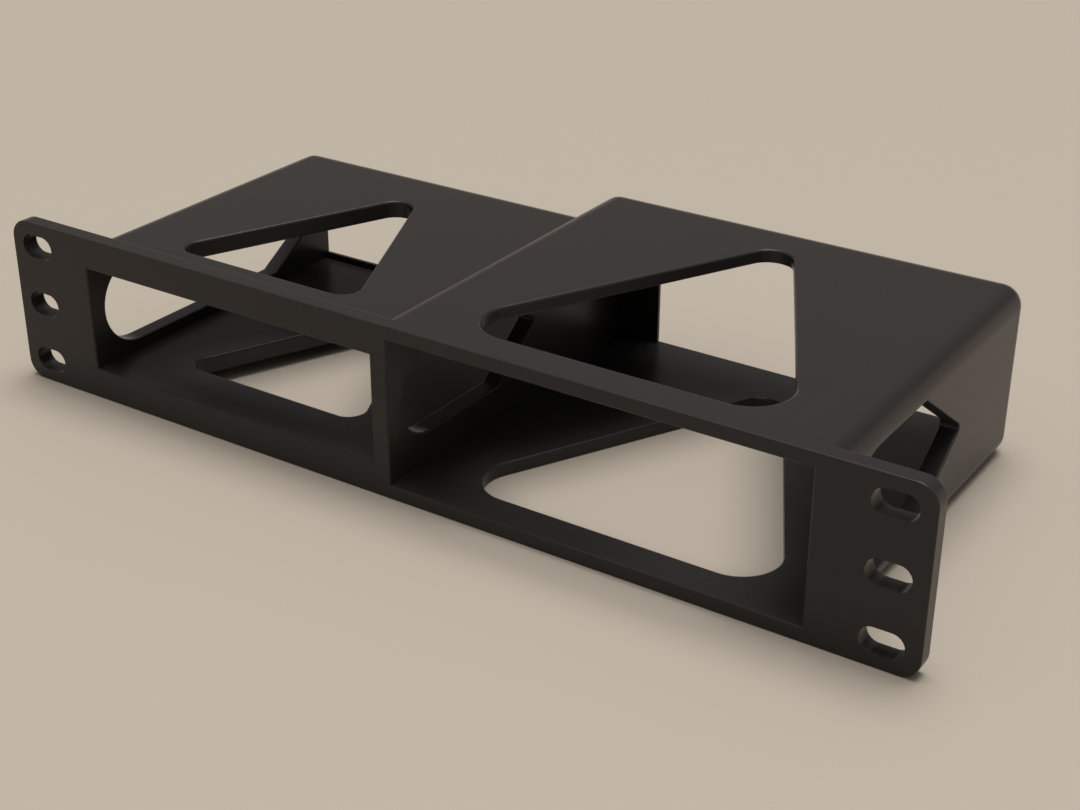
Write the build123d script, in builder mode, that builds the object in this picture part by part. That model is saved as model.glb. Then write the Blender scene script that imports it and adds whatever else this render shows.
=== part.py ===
"""Rack mount panel: a one-piece 10-inch panel, one unit high, with two open bays for small boxed devices.

Frame: X runs along the panel, Y runs back from the panel's front face, Z is up.
The origin is at the centre of the front face, which is also the centre of the screw slots. Millimetres.
"""
import os

from build123d import *

# Front plate, one rack unit high
plate_height = 44.45
plate_thickness = 4.4
plate_corner_radius = 5.0
plate_edge_radius = 0.4

# Screw slots in the two ears, on the spacing of a 10-inch rack
slot_column_spacing = 236.525
slot_row_spacing = 15.875
slot_rows = 3
slot_length = 10.2
slot_width = 6.2
slot_side_margin = 8.7375

# Walls of both bays: side walls and divider, thin rear lips, rounded outer edges, small rounds on rims
wall = 4.8
rear_lip_thickness = 1.2
bay_edge_radius = 5.3
bay_rear_radius = 5.0
roof_rim_radius = 0.7
side_rim_radius = 0.4
opening_rim_radius = 0.5
lip_rim_radius = 0.3

# Left bay, lower than the plate, with a lip along the roof and the floor of its rear mouth
left_bay_width = 90.6
left_bay_height = 27.8
left_bay_depth = 93.5
left_roof = 4.8
left_lip = 1.8

# Right bay, flush with the plate's top and bottom, with a lip down each side of its rear mouth
right_bay_width = 106.4
right_bay_depth = 105.3
right_roof = 3.6
right_lip = 11.3

# Rounded triangular window through the roof and floor of each bay, pointing to the rear
left_window_front = 14.6
left_window_side_margin = 15.8
left_window_rear_margin = 13.1
left_window_base_radius = 4.3
left_window_apex_radius = 5.0
right_window_front = 9.5
right_window_side_margin = 8.6
right_window_rear_margin = 8.1
right_window_base_radius = 10.0
right_window_apex_radius = 5.8

# Side windows: round at the front, pointed at the rear. A rise is measured up from the panel's middle.
left_wall_window_front = 4.9
left_wall_window_height = 23.0
left_wall_window_rise = 0.5
left_wall_window_rear_margin = 4.3
left_wall_window_point = 19.2
left_wall_window_tip_rise = 0.5
left_wall_window_tip_radius = 2.0
divider_window_front = 5.3
divider_window_height = 21.4
divider_window_rise = 0.0
divider_window_length = 55.5
divider_window_point = 16.2
divider_window_tip_rise = 1.6
divider_window_tip_radius = 0.5
right_wall_window_front = 6.2
right_wall_window_height = 32.0
right_wall_window_rise = -0.2
right_wall_window_length = 62.8
right_wall_window_point = 23.4
right_wall_window_tip_rise = -0.2
right_wall_window_tip_radius = 1.6

plate_width = slot_column_spacing + 2 * slot_side_margin
right_bay_height = plate_height - 2 * right_roof

# Walls' faces along X, with both bays centred on the panel
left_inner_x = -(left_bay_width + wall + right_bay_width) / 2
divider_left_x = left_inner_x + left_bay_width
divider_right_x = divider_left_x + wall
right_inner_x = divider_right_x + right_bay_width
left_bay_x = left_inner_x + left_bay_width / 2
right_bay_x = divider_right_x + right_bay_width / 2
divider_x = divider_left_x + wall / 2

# Planes across the panel: front face, and the plate's middle, where the bays' solid blocks start
front_face = Plane.XZ
plate_middle = Plane.XZ.offset(-plate_thickness / 2)


def triangle_window(centre_x, base, front, apex, base_radius, apex_radius):
    """Outline of a roof window, seen from above: wide at the front, with its apex to the rear."""
    with BuildSketch(Plane.XY) as outline:
        with BuildLine():
            Polyline(
                (centre_x - base / 2, front),
                (centre_x + base / 2, front),
                (centre_x, apex),
                close=True,
            )
        make_face()
        base_corners = outline.vertices().group_by(Axis.Y)[0]
        fillet(base_corners, base_radius)
        apex_corner = outline.vertices().sort_by(Axis.Y)[-1]
        fillet(apex_corner, apex_radius)
    return outline.sketch


def side_window(wall_x, height, rise, front, length, point, tip_rise, tip_radius):
    """Outline of a side window in the plane at wall_x: a half circle in front, a rounded point at the rear."""
    radius = height / 2
    bottom = rise - radius
    top = rise + radius
    shoulder = front + length - point
    with BuildSketch(Plane.YZ.offset(wall_x)) as outline:
        with BuildLine():
            Polyline(
                (front + radius, bottom),
                (shoulder, bottom),
                (front + length, tip_rise),
                (shoulder, top),
                (front + radius, top),
            )
            ThreePointArc(
                (front + radius, top),
                (front, rise),
                (front + radius, bottom),
            )
        make_face()
        tip = outline.vertices().sort_by(Axis.X)[-1]
        fillet(tip, tip_radius)
    return outline.sketch


# Solid block of the left bay, rounded on its outer side and square where it runs into the divider
with BuildPart() as left_block:
    with BuildSketch(plate_middle) as left_outline:
        with Locations(((left_inner_x - wall + divider_x) / 2, 0)):
            Rectangle(divider_x - left_inner_x + wall, left_bay_height + 2 * left_roof)
        fillet(left_outline.vertices().group_by(Axis.X)[0], bay_edge_radius)
    extrude(amount=-(left_bay_depth - plate_thickness / 2))
    left_rear_edges = left_block.faces().sort_by(Axis.Y)[-1].edges()
    fillet(left_rear_edges.sort_by(Axis.X)[:-1], bay_rear_radius)

# Solid block of the right bay, rounded all round
with BuildPart() as right_block:
    with BuildSketch(plate_middle):
        with Locations((right_bay_x, 0)):
            RectangleRounded(right_bay_width + 2 * wall, plate_height, bay_edge_radius)
    extrude(amount=-(right_bay_depth - plate_thickness / 2))
    fillet(right_block.faces().sort_by(Axis.Y)[-1].edges(), bay_rear_radius)

with BuildPart() as rack_panel:
    # Plate with its edges rounded at the front and at the back
    with BuildSketch(front_face):
        RectangleRounded(plate_width, plate_height, plate_corner_radius)
    extrude(amount=-plate_thickness)
    fillet(rack_panel.edges().filter_by(Plane.XZ), plate_edge_radius)
    add(left_block.part)
    add(right_block.part)

    # Bays, open at the front
    with BuildSketch(front_face):
        with Locations((left_bay_x, 0)):
            Rectangle(left_bay_width, left_bay_height)
    extrude(amount=-(left_bay_depth - rear_lip_thickness), mode=Mode.SUBTRACT)
    with BuildSketch(front_face):
        with Locations((right_bay_x, 0)):
            Rectangle(right_bay_width, right_bay_height)
    extrude(amount=-(right_bay_depth - rear_lip_thickness), mode=Mode.SUBTRACT)
    front_rims = rack_panel.faces().sort_by(Axis.Y)[0].inner_wires().edges()
    fillet(front_rims, opening_rim_radius)

    # Rear mouths, which leave the lips that the devices stop against
    with BuildSketch(front_face):
        with Locations((left_bay_x, 0)):
            Rectangle(left_bay_width, left_bay_height - 2 * left_lip)
    extrude(amount=-left_bay_depth, mode=Mode.SUBTRACT)
    left_lip_edges = rack_panel.edges(Select.LAST).filter_by(Axis.X).group_by(Axis.Y)[-1]
    with BuildSketch(front_face):
        with Locations((right_bay_x, 0)):
            Rectangle(right_bay_width - 2 * right_lip, right_bay_height)
    extrude(amount=-right_bay_depth, mode=Mode.SUBTRACT)
    right_lip_edges = rack_panel.edges(Select.LAST).filter_by(Axis.Z).group_by(Axis.Y)[-1]
    fillet(left_lip_edges + right_lip_edges, lip_rim_radius)

    # Windows through roof and floor
    left_window = triangle_window(
        left_bay_x,
        left_bay_width - 2 * left_window_side_margin,
        left_window_front,
        left_bay_depth - left_window_rear_margin,
        left_window_base_radius,
        left_window_apex_radius,
    )
    right_window = triangle_window(
        right_bay_x,
        right_bay_width - 2 * right_window_side_margin,
        right_window_front,
        right_bay_depth - right_window_rear_margin,
        right_window_base_radius,
        right_window_apex_radius,
    )
    for window in (left_window, right_window):
        extrude(window, amount=plate_height, both=True, mode=Mode.SUBTRACT)
        fillet(rack_panel.edges(Select.LAST).filter_by(Plane.XY), roof_rim_radius)

    # Windows through the left wall, the divider and the right wall
    left_wall_window = side_window(
        left_inner_x - wall / 2,
        left_wall_window_height,
        left_wall_window_rise,
        left_wall_window_front,
        left_bay_depth - left_wall_window_rear_margin - left_wall_window_front,
        left_wall_window_point,
        left_wall_window_tip_rise,
        left_wall_window_tip_radius,
    )
    divider_window = side_window(
        divider_x,
        divider_window_height,
        divider_window_rise,
        divider_window_front,
        divider_window_length,
        divider_window_point,
        divider_window_tip_rise,
        divider_window_tip_radius,
    )
    right_wall_window = side_window(
        right_inner_x + wall / 2,
        right_wall_window_height,
        right_wall_window_rise,
        right_wall_window_front,
        right_wall_window_length,
        right_wall_window_point,
        right_wall_window_tip_rise,
        right_wall_window_tip_radius,
    )
    for window in (left_wall_window, divider_window, right_wall_window):
        extrude(window, amount=wall / 2, both=True, mode=Mode.SUBTRACT)
        fillet(rack_panel.edges(Select.LAST).filter_by(Plane.YZ), side_rim_radius)

    # Screw slots in the ears
    with BuildSketch(front_face):
        with GridLocations(slot_column_spacing, slot_row_spacing, 2, slot_rows):
            SlotOverall(slot_length, slot_width)
    extrude(amount=-plate_thickness, mode=Mode.SUBTRACT)

rack_panel.part.label = "rack_panel"
os.makedirs("parts", exist_ok=True)
export_step(rack_panel.part, "parts/rack_panel.step")
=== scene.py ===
"""Rack mount panel: its finish, the table under it, the light and the camera.

Metres, in the panel's own frame.
"""
import math

import bpy
from mathutils import Matrix, Vector


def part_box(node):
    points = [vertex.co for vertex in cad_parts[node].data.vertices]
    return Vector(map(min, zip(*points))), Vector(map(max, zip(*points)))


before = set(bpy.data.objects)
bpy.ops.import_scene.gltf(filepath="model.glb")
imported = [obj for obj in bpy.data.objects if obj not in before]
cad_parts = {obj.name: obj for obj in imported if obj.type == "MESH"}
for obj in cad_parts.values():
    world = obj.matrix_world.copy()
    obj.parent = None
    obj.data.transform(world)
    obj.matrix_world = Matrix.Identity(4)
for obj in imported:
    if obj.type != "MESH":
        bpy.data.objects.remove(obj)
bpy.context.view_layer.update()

# The panel. One moulded or printed piece of black plastic, coloured all through, with a satin skin and a very
# fine grain. The grain is the same on the plate, the bays and the rims, and nothing is painted.
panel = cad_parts["rack_panel"]
plastic_black = (0.0260, 0.0234, 0.0232, 1.0)
plastic_pale = (0.0295, 0.0268, 0.0266, 1.0)
plastic_ior = 1.35
plastic_roughness = 0.29
roughness_spread = 0.04
grain_size = 0.00022
grain_height = 0.000004
grain_detail = 2.0
cloud_size = 0.018
cloud_detail = 3.0

plastic = bpy.data.materials.new("panel_plastic")
plastic.use_nodes = True
nodes = plastic.node_tree.nodes
links = plastic.node_tree.links
shader = nodes["Principled BSDF"]
shader.inputs["IOR"].default_value = plastic_ior

place = nodes.new("ShaderNodeTexCoord")

cloud = nodes.new("ShaderNodeTexNoise")
cloud.inputs["Scale"].default_value = 1.0 / cloud_size
cloud.inputs["Detail"].default_value = cloud_detail
links.new(place.outputs["Object"], cloud.inputs["Vector"])

grain = nodes.new("ShaderNodeTexNoise")
grain.inputs["Scale"].default_value = 1.0 / grain_size
grain.inputs["Detail"].default_value = grain_detail
links.new(place.outputs["Object"], grain.inputs["Vector"])

tint = nodes.new("ShaderNodeMix")
tint.data_type = "RGBA"
tint.inputs["A"].default_value = plastic_black
tint.inputs["B"].default_value = plastic_pale
links.new(cloud.outputs["Fac"], tint.inputs["Factor"])
links.new(tint.outputs["Result"], shader.inputs["Base Color"])

polish = nodes.new("ShaderNodeMapRange")
polish.inputs["To Min"].default_value = plastic_roughness - roughness_spread
polish.inputs["To Max"].default_value = plastic_roughness + roughness_spread
links.new(grain.outputs["Fac"], polish.inputs["Value"])
links.new(polish.outputs["Result"], shader.inputs["Roughness"])

relief = nodes.new("ShaderNodeBump")
relief.inputs["Strength"].default_value = 1.0
relief.inputs["Distance"].default_value = grain_height
links.new(grain.outputs["Fac"], relief.inputs["Height"])
links.new(relief.outputs["Normal"], shader.inputs["Normal"])

panel.data.materials.clear()
panel.data.materials.append(plastic)

# The table. A plain pale board with a dull surface, far larger than the panel.
# Its top is at the panel's underside.
floor_reach = 20.0
floor_colour = (0.49, 0.43, 0.36, 1.0)
floor_roughness = 0.6
floor_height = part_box("rack_panel")[0].z

bpy.ops.object.select_all(action="DESELECT")
bpy.ops.mesh.primitive_plane_add(size=2 * floor_reach, location=(0, 0, floor_height))
floor = bpy.context.object
floor.name = "floor"
bpy.ops.object.transform_apply(location=True, rotation=True, scale=True)

board = bpy.data.materials.new("pale_board")
board.use_nodes = True
board_shader = board.node_tree.nodes["Principled BSDF"]
board_shader.inputs["Base Color"].default_value = floor_colour
board_shader.inputs["Roughness"].default_value = floor_roughness
floor.data.materials.append(board)

# The room. It is bright above and dim towards the horizon, and lights the panel softly from all round.
# The light grows from the horizon up with a power of the direction's height.
room_colour = (1.0, 0.97, 0.94, 1.0)
horizon_light = 0.03
zenith_light = 0.72
rise_power = 2.0

room = bpy.data.worlds.new("room")
room.use_nodes = True
room_nodes = room.node_tree.nodes
room_links = room.node_tree.links
room_glow = room_nodes["Background"]
room_glow.inputs["Color"].default_value = room_colour

direction = room_nodes.new("ShaderNodeTexCoord")
height = room_nodes.new("ShaderNodeSeparateXYZ")
room_links.new(direction.outputs["Generated"], height.inputs["Vector"])

rise = room_nodes.new("ShaderNodeMath")
rise.operation = "POWER"
rise.inputs[1].default_value = rise_power
room_links.new(height.outputs["Z"], rise.inputs[0])

glow = room_nodes.new("ShaderNodeMapRange")
glow.inputs["To Min"].default_value = horizon_light
glow.inputs["To Max"].default_value = zenith_light
room_links.new(rise.outputs["Value"], glow.inputs["Value"])
room_links.new(glow.outputs["Result"], room_glow.inputs["Strength"])

# The backdrop. Low round the horizon, the camera and the panel's gloss see a pale wall of the colour of the
# lit table in place of the dim room. It fades out upwards and puts no diffuse light on the panel.
backdrop_light = 1.10
backdrop_full_below = 0.10
backdrop_gone_above = 0.31

backdrop = room_nodes.new("ShaderNodeBackground")
backdrop.inputs["Color"].default_value = floor_colour
backdrop.inputs["Strength"].default_value = backdrop_light

path = room_nodes.new("ShaderNodeLightPath")
seen = room_nodes.new("ShaderNodeMath")
seen.operation = "MAXIMUM"
room_links.new(path.outputs["Is Camera Ray"], seen.inputs[0])
room_links.new(path.outputs["Is Glossy Ray"], seen.inputs[1])
seen_through = room_nodes.new("ShaderNodeMath")
seen_through.operation = "MAXIMUM"
room_links.new(seen.outputs["Value"], seen_through.inputs[0])
room_links.new(path.outputs["Is Transmission Ray"], seen_through.inputs[1])

fade = room_nodes.new("ShaderNodeMapRange")
fade.interpolation_type = "SMOOTHSTEP"
fade.inputs["From Min"].default_value = backdrop_full_below
fade.inputs["From Max"].default_value = backdrop_gone_above
fade.inputs["To Min"].default_value = 1.0
fade.inputs["To Max"].default_value = 0.0
room_links.new(height.outputs["Z"], fade.inputs["Value"])

share = room_nodes.new("ShaderNodeMath")
share.operation = "MULTIPLY"
room_links.new(seen_through.outputs["Value"], share.inputs[0])
room_links.new(fade.outputs["Result"], share.inputs[1])

choice = room_nodes.new("ShaderNodeMixShader")
room_links.new(share.outputs["Value"], choice.inputs["Fac"])
room_links.new(room_glow.outputs["Background"], choice.inputs[1])
room_links.new(backdrop.outputs["Background"], choice.inputs[2])
room_links.new(choice.outputs["Shader"], room_nodes["World Output"].inputs["Surface"])
bpy.context.scene.world = room

# The lamp. One very broad lamp, nearly overhead and a little behind the panel.
# It lights the whole table evenly and leaves only a soft shadow.
lamp_place = Vector((0.0, 0.2, 1.4))
lamp_target = Vector((0.0, 0.05, 0.0))
lamp_strength = 2.25
lamp_spread = math.radians(36)
lamp_colour = (1.0, 0.98, 0.95)

bpy.ops.object.light_add(type="SUN", location=lamp_place)
lamp = bpy.context.object
lamp.name = "top_lamp"
lamp.data.energy = lamp_strength
lamp.data.angle = lamp_spread
lamp.data.color = lamp_colour
lamp.rotation_euler = (lamp_target - lamp_place).to_track_quat("-Z", "Y").to_euler()

# The camera. It looks down on the front and right of the panel, at the photograph's angle.
# Its place, turn and focal length were solved from the panel's outline there.
camera_place = (0.22743, -0.28804, 0.188425)
azimuth = math.radians(33.546)
elevation = math.radians(26.739)
roll = math.radians(0.205)
focal_pixels = 1805.8
picture_width = 1080
sensor_width = 36.0

camera_data = bpy.data.cameras.new("camera")
camera_data.sensor_fit = "HORIZONTAL"
camera_data.sensor_width = sensor_width
camera_data.lens = focal_pixels / picture_width * sensor_width
camera = bpy.data.objects.new("camera", camera_data)
bpy.context.scene.collection.objects.link(camera)

forward = Vector((
    -math.sin(azimuth) * math.cos(elevation),
    math.cos(azimuth) * math.cos(elevation),
    -math.sin(elevation),
))
level_right = Vector((math.cos(azimuth), math.sin(azimuth), 0))
level_up = level_right.cross(forward)
right = math.cos(roll) * level_right + math.sin(roll) * level_up
up = right.cross(forward)
turn = Matrix((right, up, -forward)).transposed()
camera.matrix_world = Matrix.Translation(camera_place) @ turn.to_4x4()
bpy.context.scene.camera = camera
bpy.context.scene.view_settings.view_transform = "Standard"
